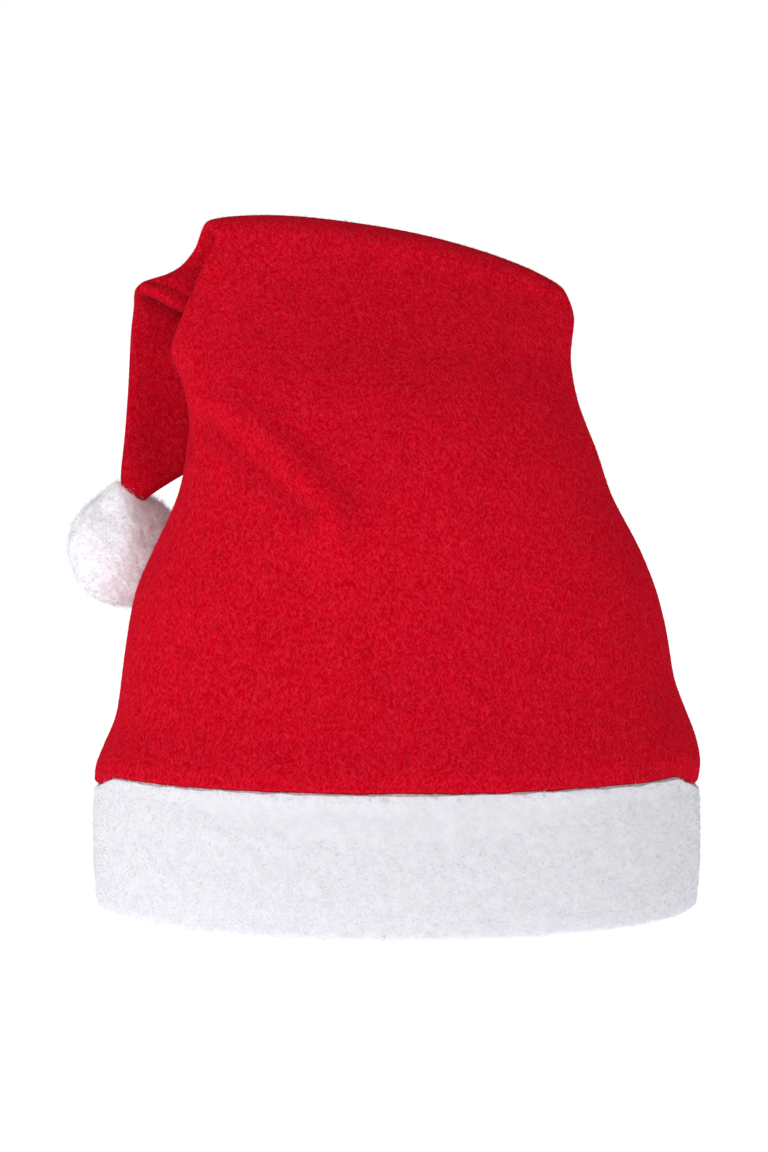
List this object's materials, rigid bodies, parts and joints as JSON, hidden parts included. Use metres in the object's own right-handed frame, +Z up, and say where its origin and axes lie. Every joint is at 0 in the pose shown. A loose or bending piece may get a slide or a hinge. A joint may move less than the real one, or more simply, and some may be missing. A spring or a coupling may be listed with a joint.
{
  "type": "santa hat",
  "caption": "Red felt santa hat with a folded-over tip, a white plush band round the head opening and a white pompom.",
  "frame": {"origin": "centre of the head opening, in the plane that the band's lower edge rests on", "axes": "+Z up through the crown, +X to the right seen from the front, -Y towards the front of the hat, so the tip hangs down behind on the -X side"},
  "size_m": [0.2538, 0.1312, 0.2711],
  "materials": {
    "red_felt": "brushed felt with a short nap",
    "white_plush": "short plush pile",
    "white_yarn": "soft fluffy yarn"
  },
  "bodies": {
    "root": {"crown": "red_felt", "band": "white_plush", "pompom": "white_yarn"}
  },
  "joints": []
}
